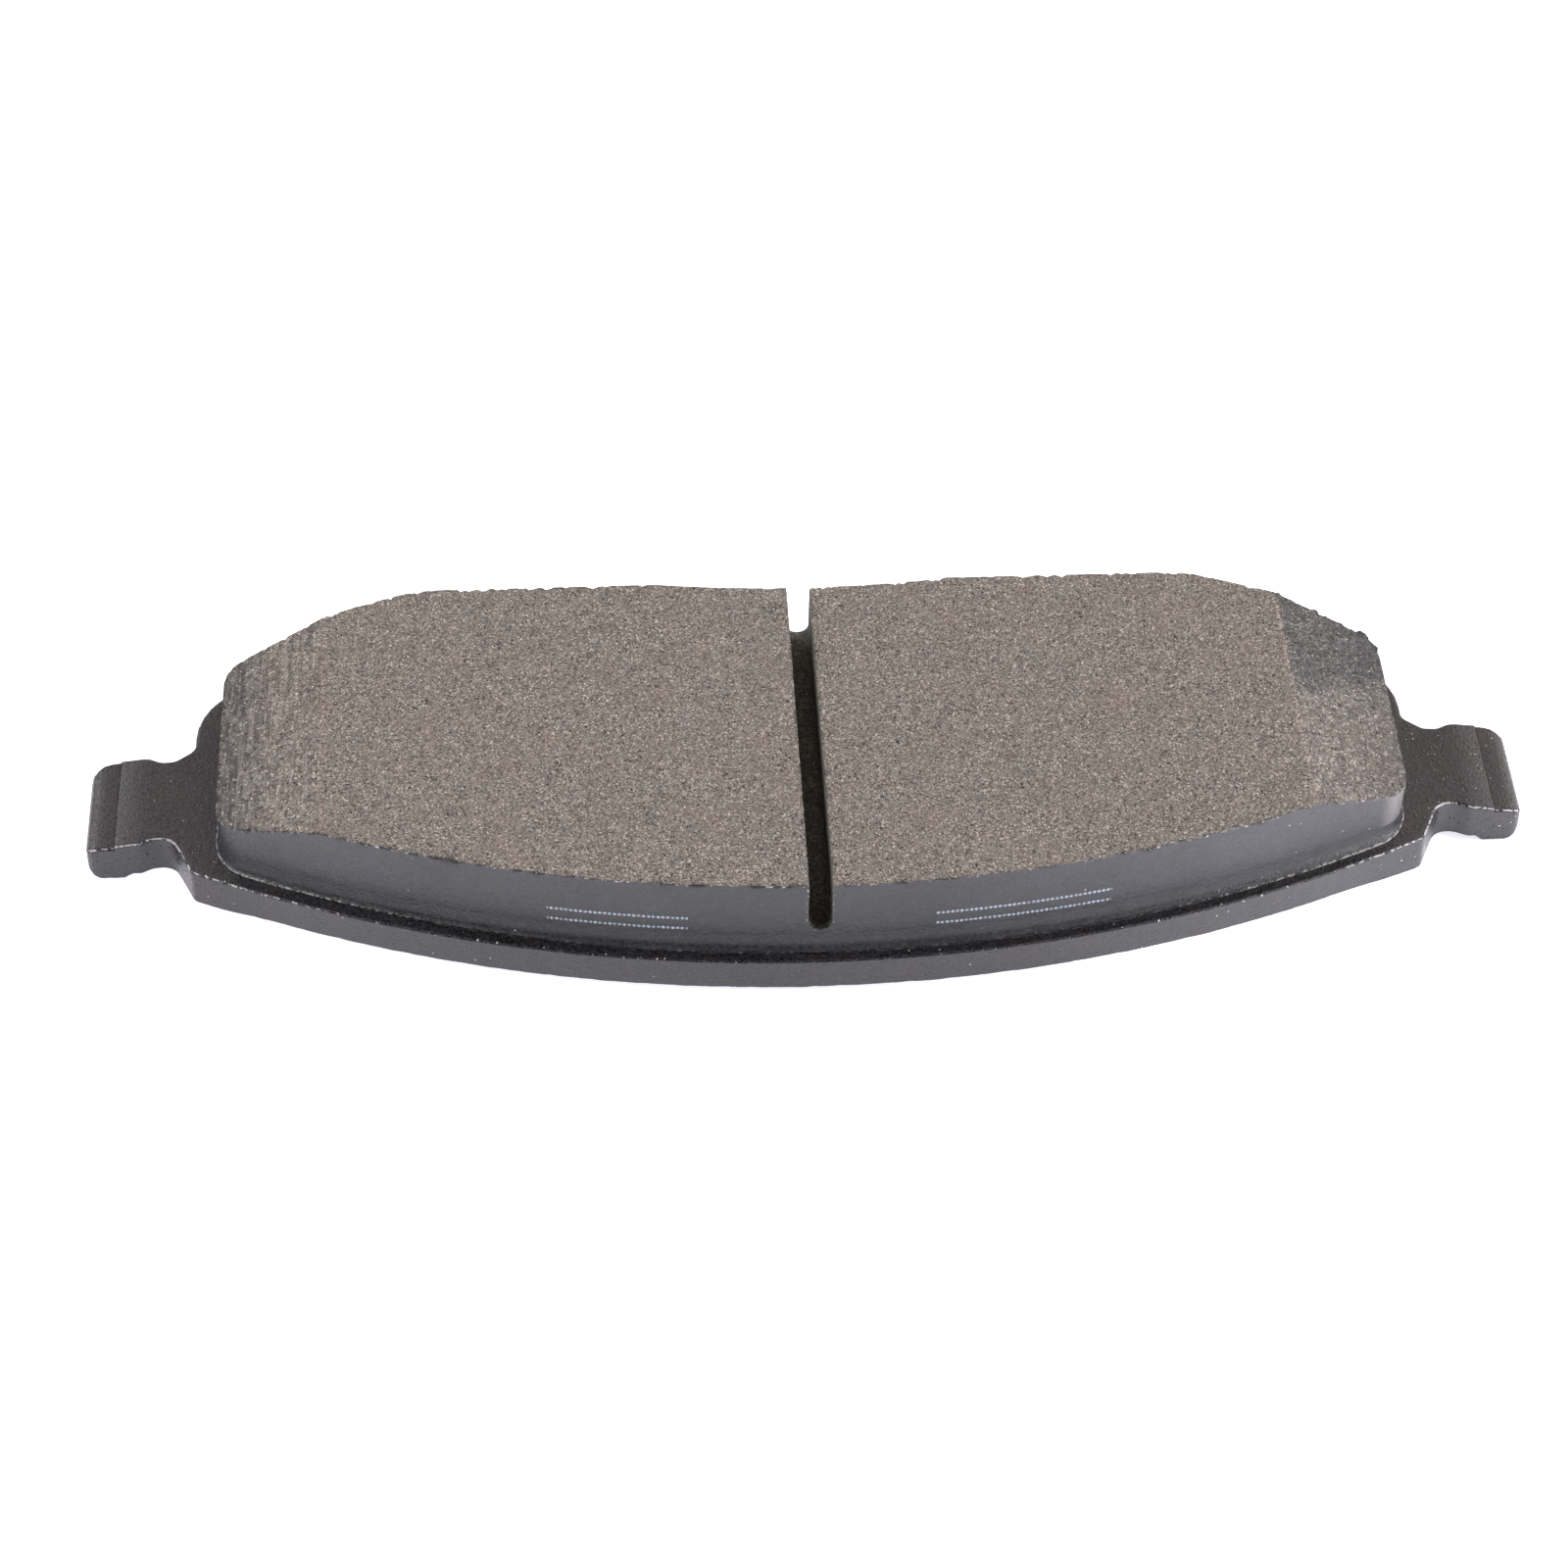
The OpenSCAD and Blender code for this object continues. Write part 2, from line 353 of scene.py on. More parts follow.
def light_studio():
    """Soft boxes and panels, and a warm room that is brighter behind and to the right."""
    scene = bpy.context.scene
    scene.view_settings.view_transform = "Standard"
    world = bpy.data.worlds.new("studio")
    world.use_nodes = True
    tree = world.node_tree
    place = tree.nodes.new("ShaderNodeTexCoord")
    split = tree.nodes.new("ShaderNodeSeparateXYZ")
    tree.links.new(place.outputs["Generated"], split.inputs[0])
    across = sky_step(tree, split.outputs["X"], -0.35, 0.35, 0.50, 1.35)
    depth = sky_step(tree, split.outputs["Y"], -0.45, 0.45, 0.09, 0.88)
    both = tree.nodes.new("ShaderNodeMath")
    both.operation = "MULTIPLY"
    tree.links.new(across, both.inputs[0])
    tree.links.new(depth, both.inputs[1])
    background = tree.nodes["Background"]
    background.inputs[0].default_value = (0.95, 0.83, 0.79, 1)
    tree.links.new(both.outputs[0], background.inputs[1])
    scene.world = world
    soft_light("left_softbox", (-0.85, -0.10, 0.75), (0.6, 0.6), 6.2)
    soft_light("right_softbox", (0.85, -0.25, 0.70), (0.6, 0.6), 5.3)
    soft_light("left_back_panel", (-0.62, 0.72, 0.62), (0.35, 0.5), 2.1)
    soft_light("right_back_panel", (0.80, 0.62, 0.58), (0.35, 0.5), 2.1)
    soft_light("right_low_panel", (0.72, -0.25, 0.06), (0.25, 0.08), 2.1)


# ---------------------------------------------------------------- friction block

def ground_friction():
    """Ground friction mix: grains of many minerals, metal glints, black pits and mill lines."""
    p = Paint("ground_friction_mix", roughness=0.8)
    coarse = p.attribute("coarse")
    _, grain, kind = p.cells(0.21 * MM, vector=p.stretched(1, 0.85, 1))
    _, fine, _ = p.cells(0.16 * MM)
    _, lump, _ = p.cells(0.60 * MM)
    mid = p.noise(0.6 * MM, 4, 0.65)
    tint = p.noise(2.4 * MM, 4, 0.65)
    warm = p.noise(9 * MM, 3, 0.6)
    value = p.math("ADD", p.math("MULTIPLY", grain, 0.38), p.math("MULTIPLY", fine, 0.50))
    value = p.math("ADD", value, p.math("MULTIPLY", mid, 0.12))
    rough = p.math("MULTIPLY", p.math("SUBTRACT", lump, 0.5), coarse)
    value = p.math("ADD", value, p.math("MULTIPLY", rough, 0.25))
    base = p.ramp(
        value,
        (0.17, linear(34, 32, 30)),
        (0.30, linear(90, 84, 80)),
        (0.50, linear(123, 117, 112)),
        (0.72, linear(146, 139, 133)),
        (0.88, linear(214, 206, 197)))
    base = p.mix(p.between(kind, 0.80, 0.95, 0, 0.35), base, linear(112, 124, 126))
    base = p.mix(p.between(kind, 0.05, 0.20, 0.24, 0), base, linear(150, 120, 96))
    base = p.mix(p.between(tint, 0.46, 0.70, 0, 0.18), base, linear(106, 112, 108))
    base = p.mix(p.between(warm, 0.46, 0.70, 0, 0.16), base, linear(140, 124, 108))
    grey = p.attribute("grey")
    base = p.mix(p.math("MULTIPLY", grey, 0.9), base, linear(174, 182, 193), "MULTIPLY")
    streak = p.noise(0.5 * MM, 2, 0.5, vector=p.stretched(1, 0.14, 1))
    streak = p.math("MULTIPLY", p.between(streak, 0.45, 0.60), p.attribute("streak"))
    base = p.mix(p.math("MULTIPLY", streak, 0.62), base, linear(66, 64, 63))
    base = p.mix(p.attribute("streak"), base, linear(226, 228, 234), "MULTIPLY")
    furrow = p.noise(0.42 * MM, 1, 0.4, vector=p.stretched(1, 0.04, 1))
    x, _, _ = p.axes()
    milled = p.math("MULTIPLY", coarse, p.between(x, -1 * MM, MM, 0.9, 0.4))
    milled = p.math("MULTIPLY", milled, p.math("SUBTRACT", 1, grey))
    patch = p.math("MULTIPLY", p.between(p.noise(6 * MM, 2, 0.5), 0.38, 0.60), milled)
    groove = p.math("MULTIPLY", p.between(furrow, 0.52, 0.62), patch)
    crest = p.math("MULTIPLY", p.between(furrow, 0.38, 0.48, 1, 0), patch)
    base = p.mix(p.math("MULTIPLY", groove, 0.45), base, linear(74, 70, 67))
    base = p.mix(p.math("MULTIPLY", crest, 0.20), base, linear(186, 178, 171))
    pale = p.math("MULTIPLY", p.attribute("ridge"), p.between(fine, 0.35, 0.75))
    base = p.mix(p.math("MULTIPLY", pale, 0.30), base, linear(206, 184, 168))
    far, lucky, hue = p.cells(0.42 * MM)
    spot = p.between(far, 0.18, 0.34, 1, 0)
    odds = p.math("SUBTRACT", 0.958, p.math("MULTIPLY", coarse, 0.07))
    odds = p.math("ADD", odds, p.math("MULTIPLY", grey, 0.05))
    glint = p.math("MULTIPLY", p.math("GREATER_THAN", lucky, odds), spot)
    metal = p.ramp(hue, (0.45, linear(236, 230, 220)), (0.75, linear(214, 190, 150)))
    base = p.mix(p.math("MULTIPLY", glint, 0.85), base, metal)
    away, drawn, _ = p.cells(0.95 * MM, vector=p.stretched(1, 1, 1.3))
    pit = p.math("MULTIPLY", p.math("LESS_THAN", drawn, 0.09), p.between(away, 0.14, 0.30, 1, 0))
    base = p.mix(p.math("MULTIPLY", pit, 0.8), base, linear(34, 30, 27))
    chip = p.math("MULTIPLY", p.attribute("edge"), p.between(mid, 0.50, 0.58))
    base = p.mix(p.math("MULTIPLY", chip, 0.85), base, linear(26, 24, 22))
    p.set(Base_Color=base)
    p.set(Roughness=p.between(glint, 0, 1, 0.82, 0.32))
    height = p.math("ADD", value, p.math("MULTIPLY", glint, 0.25))
    height = p.math("SUBTRACT", height, p.math("MULTIPLY", pit, 0.9))
    height = p.math("SUBTRACT", height, p.math("MULTIPLY", streak, 0.4))
    height = p.math("SUBTRACT", height, p.math("MULTIPLY", groove, 0.3))
    p.bump(height, 0.08 * MM, 0.6)
    return p.material


def satin_overspray(name, rubbed_paint_and_highlight=0.0, corner=0.8):
    """Thin satin paint over the lining's sides, with dust specks and a painted highlight at a
    corner.
    """
    p = Paint(name, roughness=0.42)
    p.shader.inputs["IOR"].default_value = 1.65
    cloud = p.noise(9 * MM, 3, 0.55)
    mottle = p.noise(1.2 * MM, 4, 0.65)
    fine = p.noise(0.34 * MM, 3, 0.6)
    value = p.math("ADD", p.math("MULTIPLY", cloud, 0.25), p.math("MULTIPLY", mottle, 0.25))
    value = p.math("ADD", value, p.math("MULTIPLY", fine, 0.50))
    base = p.ramp(value, (0.38, linear(8, 8, 12)), (0.62, linear(48, 48, 57)))
    x, _, _ = p.axes()
    # Painted highlight: a pale band near the block's right end, where the rounded corner catches
    # light from the right; corner sets its strength.
    thin = p.math(
        "MULTIPLY", p.between(x, 74.5 * MM, 77 * MM), p.between(x, 77.8 * MM, 78.8 * MM, 1, 0))
    base = p.mix(p.math("MULTIPLY", thin, corner), base, linear(114, 112, 114))
    far, lucky, hue = p.cells(0.8 * MM)
    radius = p.between(hue, 0, 1, 0.05, 0.17)
    inside = p.between(p.math("SUBTRACT", radius, far), 0, 0.04)
    speck = p.math("MULTIPLY", p.math("GREATER_THAN", lucky, 0.955), inside)
    base = p.mix(p.math("MULTIPLY", speck, 0.8), base, linear(214, 206, 196))
    dust_far, dust, _ = p.cells(0.34 * MM)
    dusty = p.math(
        "MULTIPLY", p.math("GREATER_THAN", dust, 0.80), p.between(dust_far, 0.15, 0.35, 1, 0))
    base = p.mix(p.math("MULTIPLY", dusty, 0.20), base, linear(150, 150, 156))
    scatter = p.noise(0.55 * MM, 3, 0.7)
    edge = p.attribute("edge")
    scatter = p.math("ADD", scatter, p.math("MULTIPLY", edge, rubbed_paint_and_highlight))
    # Pale flecks on marked edges: rubbed paint at the ground rim, and on the foot's lip partly
    # rubbed paint and partly a painted highlight.
    rubbed_paint_and_lip_highlight = p.math("MULTIPLY", p.between(edge, 0.1, 0.5), p.between(scatter, 0.56, 0.66))
    base = p.mix(p.math("MULTIPLY", rubbed_paint_and_lip_highlight, 0.85), base, linear(204, 202, 202))
    p.set(Base_Color=base)
    p.set(Roughness=p.between(fine, 0.35, 0.65, 0.28, 0.54))
    peel = p.noise(0.42 * MM, 3, 0.6)
    height = p.math("ADD", p.math("MULTIPLY", peel, 0.9), p.math("MULTIPLY", speck, 0.8))
    height = p.math("ADD", height, p.math("MULTIPLY", fine, 0.4))
    p.bump(height, 0.13 * MM, 0.9)
    return p


def inked_overspray():
    """The same paint with two plain dotted ink rules where the maker prints a batch mark."""
    p = satin_overspray("inked_overspray")
    x, _, z = p.axes()
    pitch = 0.62 * MM
    row_gap = 1.9 * MM
    row = p.math("FRACT", p.math("DIVIDE", p.math("SUBTRACT", z, BLOCK_LOW.z), row_gap))
    along = p.math("FRACT", p.math("DIVIDE", x, pitch))
    dx = p.math("MULTIPLY", p.math("SUBTRACT", along, 0.5), pitch)
    dz = p.math("MULTIPLY", p.math("SUBTRACT", row, 0.5), row_gap)
    apart = p.math("SQRT", p.math("ADD", p.math("MULTIPLY", dx, dx), p.math("MULTIPLY", dz, dz)))
    dot = p.between(apart, 0.17 * MM, 0.28 * MM, 1, 0)
    inside = None
    for low, high in ((-35.0, -17.0), (15.0, 38.0)):
        part = p.math(
            "MULTIPLY", p.math("GREATER_THAN", x, low * MM), p.math("LESS_THAN", x, high * MM))
        inside = part if inside is None else p.math("ADD", inside, part)
    band = p.math("MULTIPLY", p.math("GREATER_THAN", z, BLOCK_LOW.z + 0.4 * MM),
                  p.math("LESS_THAN", z, BLOCK_LOW.z + 3.9 * MM))
    mark = p.math("MULTIPLY", dot, p.math("MULTIPLY", inside, band))
    ragged = p.between(p.noise(0.35 * MM, 2, 0.5), 0.35, 0.6, 0.35, 1)
    mark = p.math("MULTIPLY", mark, ragged)
    base = p.shader.inputs["Base Color"].links[0].from_socket
    p.set(Base_Color=p.mix(mark, base, linear(178, 190, 208)))
    return p.material


def slot_walls():
    """The slot as the saw left it: dusty and rough, and darker on its floor near the mouth, where
    shade is painted.
    """
    p = Paint("sawn_slot", roughness=0.9)
    grain = p.noise(0.4 * MM, 4, 0.65)
    _, cell, _ = p.cells(0.35 * MM)
    value = p.math("ADD", p.math("MULTIPLY", grain, 0.6), p.math("MULTIPLY", cell, 0.4))
    base = p.ramp(
        value,
        (0.25, linear(70, 71, 65)),
        (0.6, linear(116, 117, 108)),
        (0.9, linear(190, 186, 176)))
    _, y, z = p.axes()
    # Painted shade on the slot's floor near the mouth.
    mouth = p.between(y, BLOCK_LOW.y, BLOCK_LOW.y + 11 * MM, 1, 0)
    foot = p.between(z, Z_FACE - 8.2 * MM, Z_FACE - 6.6 * MM, 1, 0)
    shade = p.math("MULTIPLY", p.math("MULTIPLY", mouth, foot), 0.75)
    p.set(Base_Color=p.mix(shade, base, linear(22, 21, 19)))
    p.bump(value, 0.12 * MM, 0.7)
    return p.material


def block_attributes(bm, rim):
    """Marks chamfers, ridges, streaks and rubbed edges, for the ground face to paint."""
    layers = {n: bm.verts.layers.float[n] for n in BLOCK_MARKS}
    for v in bm.verts:
        x = v.co.x - LINING_X
        out = abs(x) - CHAMFER_START
        wander = wobble(v.co, 2.5 * MM) * 0.5 * MM
        v[layers["coarse"]] = smoothstep(-0.5 * MM, 0.5 * MM, out)
        v[layers["ridge"]] = 1 - smoothstep(0.1 * MM, 0.45 * MM, abs(out + wander))
        strength = 1.0 if x < 0 else 0.6
        v[layers["streak"]] = strength * smoothstep(6 * MM, 12 * MM, out + 3 * wander)
        far = v.co.y - 4 * MM - 0.42 * out + 4 * wander
        far = smoothstep(-1.5 * MM, 2 * MM, far)
        right = smoothstep(0, 0.6 * MM, x - CHAMFER_START + wander)
        v[layers["grey"]] = max(far, 0.24) * right
        v[layers["edge"]] = 1.0 if v in rim else 0.0
        if any(f.material_index == SAWN for f in v.link_faces) and abs(v.normal.y) > 0.3:
            v[layers["edge"]] = 0.8


def chip_block(bm, rim):
    """Breaks small chips out of the ground face's rim, and leaves a few crumbs on the far side."""
    bm.normal_update()
    moves = []
    for v in rim:
        out = Vector((0, 0, 0))
        for f in v.link_faces:
            if abs(f.normal.z) < 0.3:
                out += f.normal
        if out.length < 0.1:
            continue
        out.normalize()
        rough = noise.fractal(v.co / (1.3 * MM), 0.6, 2.1, 4)
        chip = min(0.30, max(0.0, rough - 0.12) * 0.5) * MM
        crumb = max(0.0, wobble(v.co, 0.8 * MM, 40) - 0.42) * 0.8 * MM
        if v.co.y < 0 or abs(v.co.x) < 2 * MM:
            crumb = 0.0
        if v.co.x > CHAMFER_START and v.co.y > 12 * MM:
            crumb = max(0.0, wobble(v.co, 1.1 * MM, 70) - 0.22) * 1.1 * MM
        moves.append((v, out * (crumb - chip) + Vector((0, 0, 0.35 * crumb - chip * 0.8))))
    for v, move in moves:
        v.co += move


def groove_chamfers(bm):
    """Milling marks that run across both chamfers, deeper towards the ends."""
    for v in bm.verts:
        out = abs(v.co.x - LINING_X) - CHAMFER_START
        if out < 0.3 * MM or v.co.z < BLOCK_LOW.z + 1 * MM or abs(v.normal.z) < 0.5:
            continue
        deep = smoothstep(2 * MM, 11 * MM, out)
        line = noise.noise(Vector((v.co.x / (0.42 * MM), v.co.y / (6 * MM), 0)))
        lump = wobble(v.co, 0.8 * MM)
        v.co.z += (line * 0.06 * deep + lump * 0.03) * MM


def ground_faces(v):
    return sum(f.material_index == GROUND for f in v.link_faces)


def make_friction_block():
    bm = clean_bmesh("friction_block")
    for mark in BLOCK_MARKS:
        bm.verts.layers.float.new(mark)
    def bottom(f):
        return f.normal.z < -0.9
    fine = [x * 0.28 * MM for x in range(1, 48)]
    ends = [LINING_X + side * (CHAMFER_START + x) for side in (-1, 1) for x in fine]
    middle = spread_places(LINING_X - CHAMFER_START, LINING_X + CHAMFER_START, 0.55 * MM)
    cut_at(bm, 0, middle + ends, bottom)
    under_rim = Z_FACE - 0.4 * MM
    cut_at(bm, 2, [under_rim] + spread_places(BLOCK_LOW.z, under_rim, 0.75 * MM), bottom)
    cut_at(bm, 1, spread_places(BLOCK_LOW.y, BLOCK_HIGH.y, 0.6 * MM), bottom)
    round_near_arc(bm, LINING_X, ARC_REACH)
    bm.normal_update()
    for f in bm.faces:
        middle = f.calc_center_median()
        if f.normal.z > 0.7 and middle.z > Z_FACE - 6 * MM and abs(middle.x) > SLOT_HALF:
            f.material_index = GROUND
        elif abs(middle.x) < SLOT_HALF + 0.02 * MM and abs(f.normal.y) < 0.5 and f.normal.z > -0.5:
            f.material_index = SAWN
        elif middle.y < 0 and abs(f.normal.z) < 0.3:
            f.material_index = INKED
        else:
            f.material_index = SPRAYED
    rim = {v for v in bm.verts if 0 < ground_faces(v) < len(v.link_faces)}
    groove_chamfers(bm)
    block_attributes(bm, rim)
    chip_block(bm, rim)
    for v in bm.verts:
        if abs(v.normal.z) < 0.3 and abs(v.co.x) > 2 * MM:
            v.co += v.normal * (wobble(v.co, 5 * MM) * 0.02 + wobble(v.co, 1.2 * MM) * 0.012) * MM
    materials = [ground_friction(), satin_overspray("satin_overspray").material,
                 slot_walls(), inked_overspray()]
    return finish_mesh(bm, "friction_block_ground", "friction_block", materials)


# ---------------------------------------------------------------- backing plate

def black_paint(name, flecks=0.972, edge=False):
    """Black stove paint: an orange peel skin with pimples, flecks and a brown cast."""
    p = Paint(name, roughness=0.36)
    p.shader.inputs["IOR"].default_value = 1.60
    cloud = p.noise(14 * MM, 3, 0.55)
    mottle = p.noise(1.2 * MM, 4, 0.65)
    fine = p.noise(0.34 * MM, 3, 0.6)
    value = p.math("ADD", p.math("MULTIPLY", cloud, 0.25), p.math("MULTIPLY", mottle, 0.25))
    value = p.math("ADD", value, p.math("MULTIPLY", fine, 0.50))
    base = p.ramp(value, (0.38, linear(9, 9, 12)), (0.62, linear(45, 44, 50)))
    red = p.between(p.noise(6 * MM, 2, 0.5), 0.50, 0.70, 0, 0.25)
    base = p.mix(red, base, linear(58, 42, 40))
    far, lucky, hue = p.cells(0.5 * MM)
    radius = p.between(hue, 0, 1, 0.05, 0.34 if edge else 0.24)
    inside = p.between(p.math("SUBTRACT", radius, far), 0, 0.05)
    x, _, _ = p.axes()
    odds = p.math("SUBTRACT", flecks, p.between(x, 70 * MM, 90 * MM, 0, 0.13))
    fleck = p.math("MULTIPLY", p.math("GREATER_THAN", lucky, odds), inside)
    base = p.mix(p.math("MULTIPLY", fleck, 0.75), base, linear(232, 230, 228))
    if edge:
        # On the rolled edges: pale dashes along the crest, partly rubbed paint and partly a painted
        # highlight.
        scatter = p.noise(0.8 * MM, 4, 0.7)
        scatter = p.math("ADD", scatter, p.math("MULTIPLY", p.attribute("rubbed_paint_and_highlight"), 0.19))
        crest = p.between(p.attribute("crest"), 0.65, 1.0)
        dash = p.math("MULTIPLY", p.between(scatter, 0.66, 0.73), crest)
        base = p.mix(p.math("MULTIPLY", dash, 0.80), base, linear(214, 214, 218))
    p.set(Base_Color=base)
    p.set(Roughness=p.between(fine, 0.35, 0.65, 0.24, 0.50))
    p.set(Specular_IOR_Level=p.between(fine, 0.36, 0.64, 0.45, 0.58))
    bumps, chance, _ = p.cells(0.6 * MM)
    pimple = p.math(
        "MULTIPLY", p.math("GREATER_THAN", chance, 0.66), p.between(bumps, 0.05, 0.42, 1, 0))
    peel = p.noise(0.40 * MM, 3, 0.6)
    height = p.math("ADD", p.math("MULTIPLY", peel, 0.9), p.math("MULTIPLY", pimple, 0.9))
    p.bump(height, 0.085 * MM, 0.9)
    return p.material


EAR_START = 77 * MM
TIP_START = 87.9 * MM
LAP = 89.8 * MM
CREASE = 91.9 * MM
TIP_END = PLATE_HIGH.x
TIP_CORNER = 2.2 * MM
TIP_DROP = 0.75 * MM


def slant_lap(bm):
    """Turns the step where the pressed tip ends on the back into a slope."""
    for v in bm.verts:
        if abs(abs(v.co.x) - LAP) < 0.01 * MM and v.co.z < PLATE_LOW.z + 0.01 * MM:
            v.co.x += math.copysign(1.1 * MM, v.co.x)


def shape_tips(bm):
    """Rolls the pressed tips of the ears: a sloping strip, a crowned top and round lower corners."""
    low = PLATE_LOW.z
    for v in bm.verts:
        t = abs(v.co.x)
        if t < TIP_START:
            continue
        if v.co.z > 3 * MM:
            if t < CREASE + 0.02 * MM and v.co.z > Z_PLATE_TOP - TIP_DROP + 0.05 * MM:
                v.co.z -= 0.42 * MM * ((t - TIP_START) / (CREASE - TIP_START)) ** 1.8
            elif t > CREASE:
                v.co.z -= 0.55 * MM * ((t - CREASE) / (TIP_END - CREASE)) ** 4
        if t > TIP_END - TIP_CORNER:
            reach = min(1.0, (t - (TIP_END - TIP_CORNER)) / TIP_CORNER)
            rise = TIP_CORNER * (1 - math.sqrt(max(0.0, 1 - reach * reach)))
            v.co.z += rise * max(0.0, 1 - (v.co.z - low) / (4.2 * MM))


def sheared_outline(bm):
    """The punch leaves the lower outline of the ears a little wider than the upper one."""
    thick = Z_PLATE_TOP - PLATE_LOW.z
    for v in bm.verts:
        t = abs(v.co.x)
        root = smoothstep(70 * MM, 80 * MM, t)
        notch = smoothstep(82 * MM, 85 * MM, t) * smoothstep(91 * MM, 88 * MM, t)
        near = smoothstep(2 * MM, -4 * MM, v.co.y)
        depth = (Z_PLATE_TOP - v.co.z) / thick
        v.co.y -= (0.75 * root + 0.10 * notch) * MM * near * depth


def dent_rims(bm, rims):
    """Small dents and burrs along the plate's sheared edges."""
    bm.normal_update()
    for v in rims:
        lump = wobble(v.co, 1.6 * MM, 9) * 0.05 + wobble(v.co, 0.7 * MM, 3) * 0.04
        v.co += v.normal * lump * MM
        burr = max(0.0, wobble(v.co, 6 * MM, 21) - 0.25)
        if v.co.z < PLATE_LOW.z + 1.6 * MM and v.co.y < -8 * MM:
            v.co += Vector((0, -0.25, 0)) * burr * MM


def make_backing_plate():
    bm = clean_bmesh("backing_plate")
    crest = bm.verts.layers.float.new("crest")
    rubbed_paint_and_highlight = bm.verts.layers.float.new("rubbed_paint_and_highlight")
    slant_lap(bm)
    bm.normal_update()

    def is_rim(e):
        if len(e.link_faces) != 2:
            return False
        a, b = (f.normal.z for f in e.link_faces)
        level = max(abs(a), abs(b))
        sloped = level > 0.7 and e.calc_length() > 0.5 * MM
        steep = (level > 0.9 or sloped) and min(abs(a), abs(b)) < 0.2
        middle = (e.verts[0].co + e.verts[1].co) / 2
        in_hole = any(
            (middle.xy - Vector((s * x * MM, y * MM))).length < 6 * MM
            for s in (-1, 1) for x, y in RETENTION_HOLES)
        across = abs(e.verts[0].co.x - e.verts[1].co.x) < 0.01 * MM
        crease = abs(abs(middle.x) - CREASE) < 0.05 * MM and across
        return steep and not in_hole and not crease
    rims = [e for e in bm.edges if is_rim(e)]
    bmesh.ops.bevel(
        bm, geom=rims, offset=0.34 * MM, offset_type="OFFSET", segments=3, profile=0.5,
        affect="EDGES", clamp_overlap=True, material=ROLLED)
    ear = spread_places(EAR_START, TIP_START, 1.1 * MM)
    tip = spread_places(TIP_START, TIP_END, 0.26 * MM)
    tip += [TIP_END - x * MM for x in (0.03, 0.08, 0.15)]
    cut_at(bm, 0, [side * x for side in (-1, 1) for x in [EAR_START, *ear, TIP_START, *tip]])
    cut_at(bm, 1, spread_places(-20 * MM, 20 * MM, 1.3 * MM),
           lambda f: abs(f.calc_center_median().x) < EAR_START or abs(f.normal.z) < 0.5)
    cut_at(bm, 2, spread_places(PLATE_LOW.z, Z_PLATE_TOP, 0.6 * MM),
           lambda f: abs(f.calc_center_median().x) < TIP_START)
    around = spread_places(-EAR_START, EAR_START, 0.7 * MM)
    cut_at(bm, 0, around, lambda f: abs(f.normal.z) > 0.98)
    bmesh.ops.triangulate(bm, faces=[f for f in bm.faces if len(f.verts) > 4])
    shape_tips(bm)
    sheared_outline(bm)
    rims = {v for f in bm.faces if f.material_index == ROLLED for v in f.verts}
    dent_rims(bm, rims)
    for v in rims:
        if v.co.z > 3 * MM and all(f.material_index == ROLLED for f in v.link_faces):
            v[crest] = 1.0
        # How strong the pale edge dashes are: partly rubbed paint and partly a painted highlight,
        # strongest at the ears and weaker towards the far side.
        v[rubbed_paint_and_highlight] = 0.2 + 0.8 * smoothstep(50 * MM, 82 * MM, abs(v.co.x))
        v[rubbed_paint_and_highlight] *= 1 - 0.5 * smoothstep(0, 6 * MM, v.co.y)
    materials = [black_paint("black_stove_paint"),
                 black_paint("paint_over_edges", 0.86, edge=True)]
    return finish_mesh(bm, "backing_plate_painted", "backing_plate", materials)


# ---------------------------------------------------------------- underlayer

def make_underlayer():
    bm = clean_bmesh("underlayer")
    cut_at(bm, 0, spread_places(FOOT_LOW.x, FOOT_HIGH.x, 0.7 * MM),
           lambda f: abs(f.normal.z) > 0.98 or f.calc_center_median().z < BOND_LOW.z)
    round_near_arc(bm, LINING_X, ARC_REACH)
    edge = bm.verts.layers.float.new("edge")
    lip = Z_PLATE_TOP + 0.4 * MM
    bm.normal_update()
    for v in bm.verts:
        if v.co.z < BOND_HIGH.z - 0.02 * MM:
            continue
        # The lip's edge mark: partly rubbed paint and partly a painted highlight, stronger towards
        # the ends.
        if v.co.z < lip and abs(v.normal.z) < 0.95:
            v[edge] = 0.24 + 0.76 * smoothstep(45 * MM, 74 * MM, abs(v.co.x))
            flow = Vector((v.normal.x, v.normal.y, 0)) * wobble(v.co, 1.1 * MM) * 0.08 * MM
            v.co += flow
    return finish_mesh(bm, "underlayer_coved", "underlayer",
                       [satin_overspray("foot_overspray", 0.15, 0.0).material], 50)


# ---------------------------------------------------------------- thin layers

def resin_film():
    """Cured bonding resin, brown and slightly glossy, squeezed out in a thin line."""
    p = Paint("cured_bond_resin", roughness=0.4)
    value = p.noise(0.8 * MM, 4, 0.6)
    p.set(Base_Color=p.ramp(value, (0.35, linear(34, 32, 31)), (0.75, linear(150, 144, 138))))
    p.set(Roughness=p.between(value, 0.3, 0.7, 0.3, 0.6))
    p.bump(value, 0.05 * MM, 0.6)
    return p.material


def tacky_glue():
    """Pressure-sensitive glue, amber and cloudy."""
    p = Paint("tacky_shim_glue", roughness=0.35)
    value = p.noise(1.5 * MM, 4, 0.6)
    p.set(Base_Color=p.ramp(value, (0.3, linear(150, 132, 88)), (0.7, linear(190, 174, 124))))
    p.bump(value, 0.04 * MM, 0.5)
    return p.material


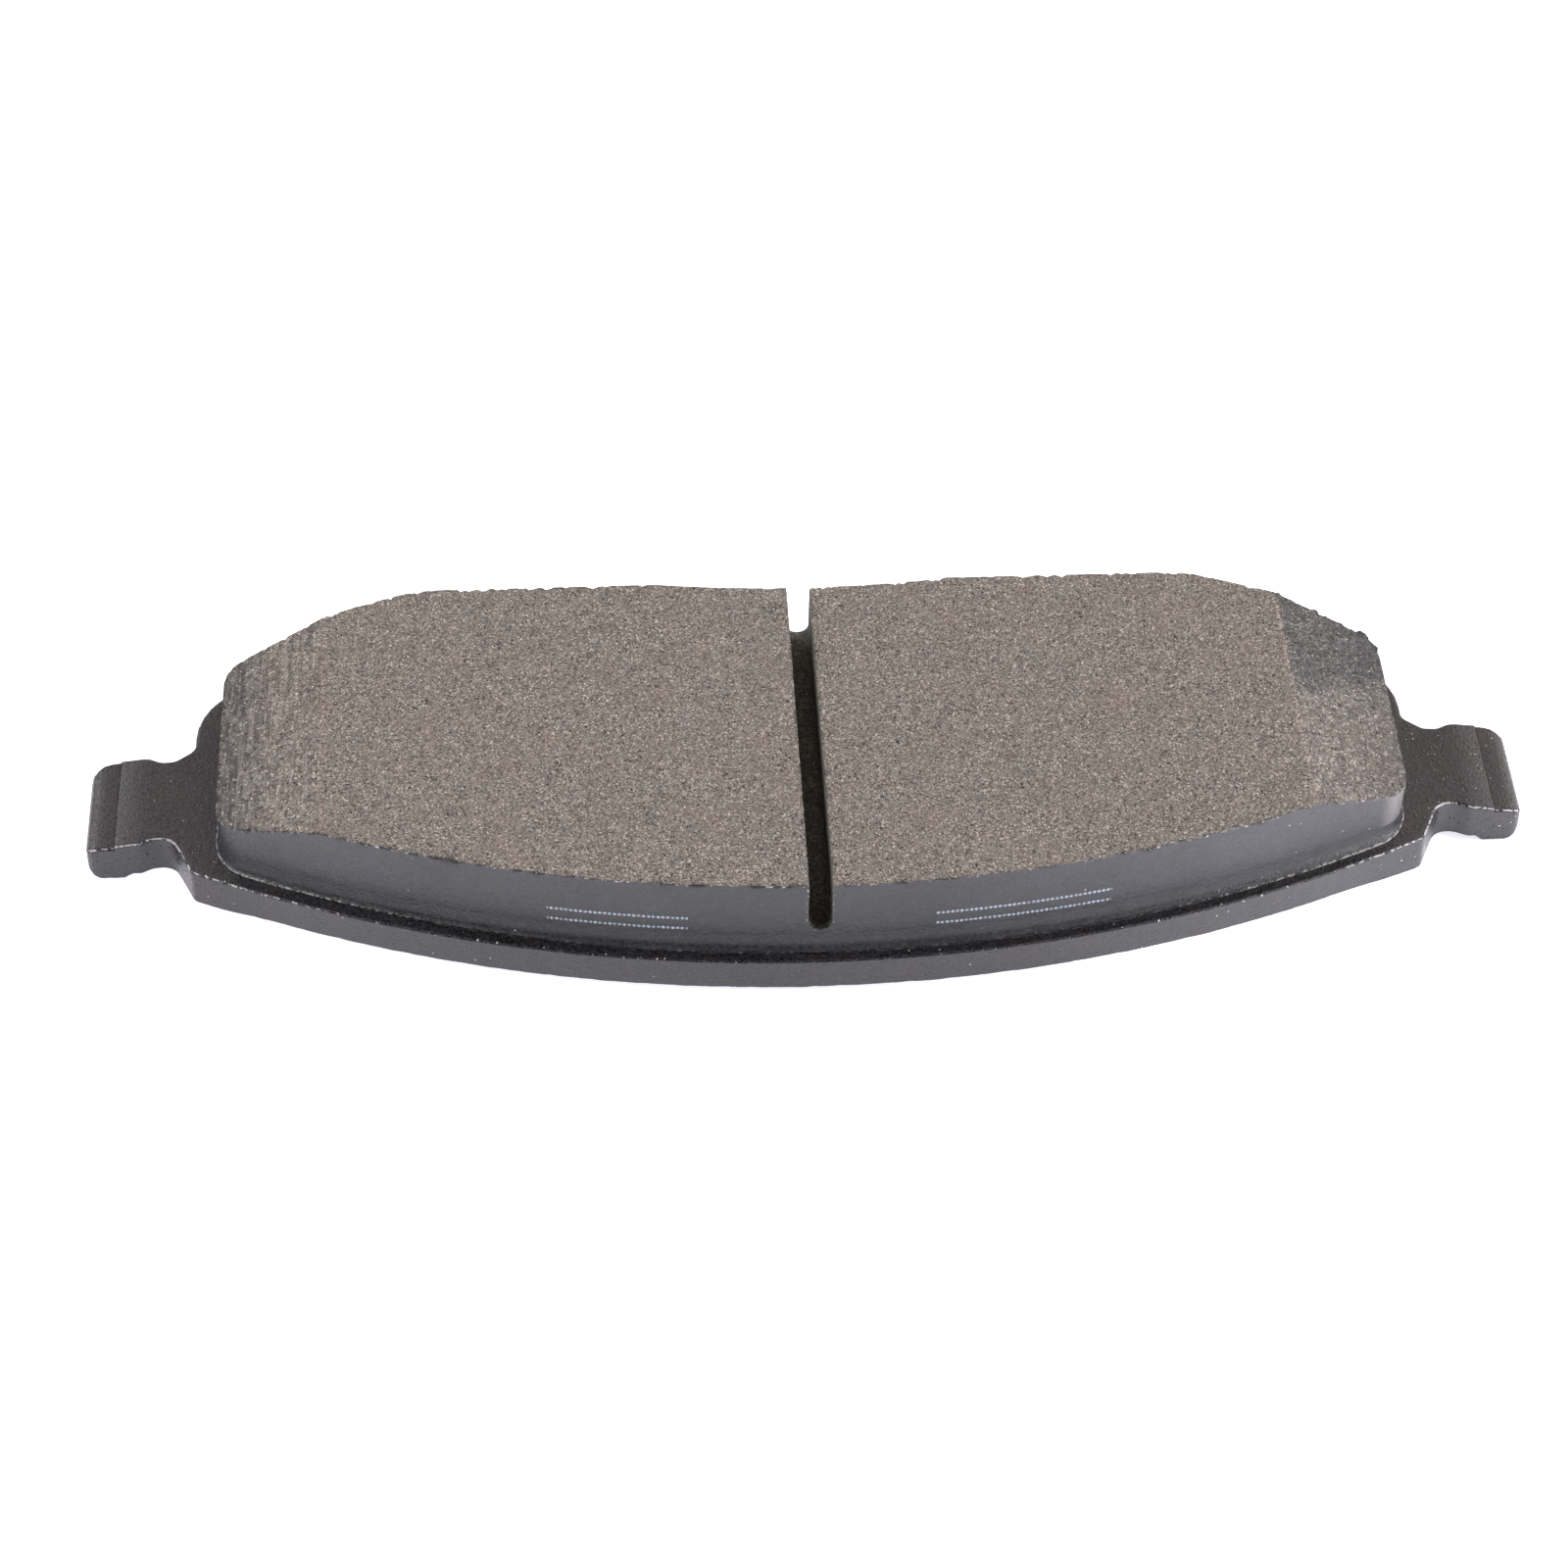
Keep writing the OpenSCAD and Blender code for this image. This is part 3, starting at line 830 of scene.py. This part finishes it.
def rubber_coat(name, shade):
    """Nitrile rubber coat: matt, finely stippled, with scuffs and faint rolling lines."""
    p = Paint(name, roughness=0.62)
    stipple = p.noise(0.35 * MM, 3, 0.6)
    cloud = p.noise(22 * MM, 3, 0.55)
    rolled = p.noise(0.9 * MM, 2, 0.5, vector=p.stretched(0.03, 1, 1))
    value = p.math("ADD", p.math("MULTIPLY", cloud, 0.6), p.math("MULTIPLY", rolled, 0.4))
    base = p.ramp(
        value,
        (0.3, linear(shade, shade, shade + 2)),
        (0.7, linear(shade + 16, shade + 16, shade + 19)))
    scuff = p.noise(5 * MM, 5, 0.75, vector=p.stretched(0.35, 1.6, 1), spread=0.6)
    scuff = p.between(scuff, 0.60, 0.72)
    base = p.mix(p.math("MULTIPLY", scuff, 0.35), base, linear(104, 104, 108))
    far, lucky, _ = p.cells(1.6 * MM)
    dust = p.math("MULTIPLY", p.math("GREATER_THAN", lucky, 0.9), p.between(far, 0.05, 0.11, 1, 0))
    base = p.mix(p.math("MULTIPLY", dust, 0.6), base, linear(170, 168, 164))
    p.set(Base_Color=base)
    p.set(Roughness=p.between(scuff, 0, 1, 0.64, 0.45))
    height = p.math("ADD", p.math("MULTIPLY", stipple, 0.7), p.math("MULTIPLY", rolled, 0.5))
    p.bump(height, 0.05 * MM, 0.6)
    return p.material


def bright_steel():
    """Rolled steel sheet, seen at the shim's cut edge."""
    p = Paint("rolled_shim_steel", roughness=0.35, Metallic=1.0)
    line = p.noise(0.25 * MM, 3, 0.6, vector=p.stretched(1, 1, 0.15))
    p.set(Base_Color=p.ramp(line, (0.3, linear(132, 133, 136)), (0.7, linear(186, 187, 190))))
    p.set(Roughness=p.between(line, 0.3, 0.7, 0.25, 0.5))
    p.bump(line, 0.03 * MM, 0.5)
    return p.material


def dress_layers():
    finishes = {
        "bond_film": resin_film(),
        "shim_adhesive": tacky_glue(),
        "shim_inner_coat": rubber_coat("inner_rubber_coat", 40),
        "shim_core": bright_steel(),
        "shim_outer_coat": rubber_coat("outer_rubber_coat", 50),
    }
    for node, finish in finishes.items():
        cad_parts[node].data.materials.clear()
        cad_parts[node].data.materials.append(finish)


make_camera()
make_floor()
light_studio()
make_friction_block()
make_backing_plate()
make_underlayer()
dress_layers()
